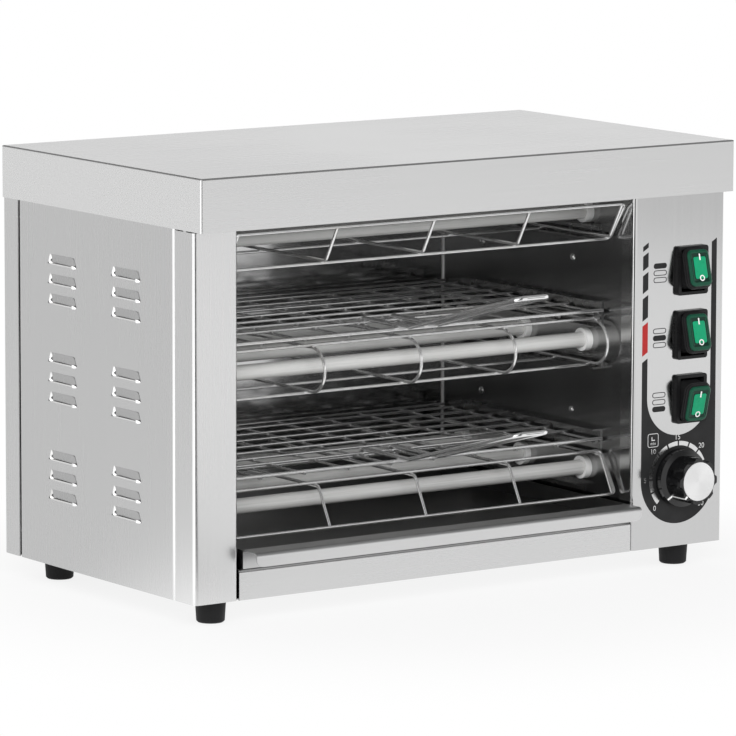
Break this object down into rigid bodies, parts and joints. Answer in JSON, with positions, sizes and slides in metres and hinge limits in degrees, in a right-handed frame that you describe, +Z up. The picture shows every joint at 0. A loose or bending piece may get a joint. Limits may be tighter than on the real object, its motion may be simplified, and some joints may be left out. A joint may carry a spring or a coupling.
{
  "type": "salamander grill",
  "caption": "Countertop quartz salamander grill in a folded steel cabinet, with sliding wire racks, a pull-out crumb tray, rocker switches and a timer dial.",
  "frame": {"origin": "on the table, at the middle of the rectangle that the grill covers with its rack handles", "axes": "+X to the right as seen from the front, +Y to the rear, +Z up"},
  "size_m": [0.45, 0.3684, 0.3047],
  "materials": {
    "steel": "satin, finely brushed",
    "mirror_steel": "polished like a mirror",
    "wire": "bright plated wire",
    "quartz": "milky translucent quartz",
    "ceramic": "white, unglazed",
    "coil": "oxidised heater alloy",
    "black_plastic": "moulded black",
    "green_plastic": "translucent green over a lamp",
    "cap_metal": "spun face",
    "fastener": "zinc plated",
    "rubber": "moulded black rubber"
  },
  "bodies": {
    "cabinet": {"lid": "steel", "left_post": "steel", "control_panel": "steel", "left_side_panel": "steel", "right_side_panel": "steel", "rear_panel": "steel", "base_plate": "steel", "bottom_fascia": "steel", "left_liner": "mirror_steel", "right_liner": "mirror_steel", "rear_liner": "mirror_steel", "ceiling_reflector": "mirror_steel", "top_guard_rails": "steel", "upper_rack_rails": "steel", "middle_guard_rails": "steel", "lower_rack_rails": "steel", "tray_guides": "steel", "tray_runners": "steel", "top_guard": "wire", "middle_guard": "wire", "bottom_guard": "wire", "tube_bottom_front": "quartz", "tube_bottom_centre": "quartz", "tube_bottom_rear": "quartz", "collars_bottom": "ceramic", "coils_bottom": "coil", "switch_frame_bottom": "black_plastic", "tube_middle_front": "quartz", "tube_middle_centre": "quartz", "tube_middle_rear": "quartz", "collars_middle": "ceramic", "coils_middle": "coil", "switch_frame_middle": "black_plastic", "tube_top_front": "quartz", "tube_top_centre": "quartz", "tube_top_rear": "quartz", "collars_top": "ceramic", "coils_top": "coil", "switch_frame_top": "black_plastic", "timer_case": "steel", "terminal_block": "ceramic", "cable_gland": "black_plastic", "liner_screws": "fastener", "rear_screws": "fastener", "foot_screws": "fastener", "feet": "rubber"},
    "upper_rack": {"upper_rack": "wire", "upper_rack_handle": "wire"},
    "lower_rack": {"lower_rack": "wire", "lower_rack_handle": "wire"},
    "crumb_tray": {"crumb_tray": "steel"},
    "rocker_top": {"switch_rocker_top": "green_plastic"},
    "rocker_middle": {"switch_rocker_middle": "green_plastic"},
    "rocker_bottom": {"switch_rocker_bottom": "green_plastic"},
    "timer_knob": {"timer_knob": "black_plastic", "knob_cap": "cap_metal", "timer_shaft": "fastener"}
  },
  "joints": [
    {"name": "upper_rack_slide", "type": "slide", "parent": "cabinet", "child": "upper_rack", "axis": [0, -1, 0], "range_m": [0, 0.15]},
    {"name": "lower_rack_slide", "type": "slide", "parent": "cabinet", "child": "lower_rack", "axis": [0, -1, 0], "range_m": [0, 0.15]},
    {"name": "crumb_tray_slide", "type": "slide", "parent": "cabinet", "child": "crumb_tray", "axis": [0, -1, 0], "range_m": [0, 0.2]},
    {"name": "rocker_top_tilt", "type": "hinge", "parent": "cabinet", "child": "rocker_top", "pos_m": [0.1941, -0.0753, 0.2134], "axis": [1, 0, 0], "range_deg": [0, 27]},
    {"name": "rocker_middle_tilt", "type": "hinge", "parent": "cabinet", "child": "rocker_middle", "pos_m": [0.1941, -0.0753, 0.1676], "axis": [1, 0, 0], "range_deg": [0, 27]},
    {"name": "rocker_bottom_tilt", "type": "hinge", "parent": "cabinet", "child": "rocker_bottom", "pos_m": [0.1941, -0.0753, 0.1218], "axis": [1, 0, 0], "range_deg": [-27, 0]},
    {"name": "timer_turn", "type": "hinge", "parent": "cabinet", "child": "timer_knob", "pos_m": [0.1848, -0.0753, 0.0659], "axis": [0, 1, 0], "range_deg": [0, 270]}
  ]
}
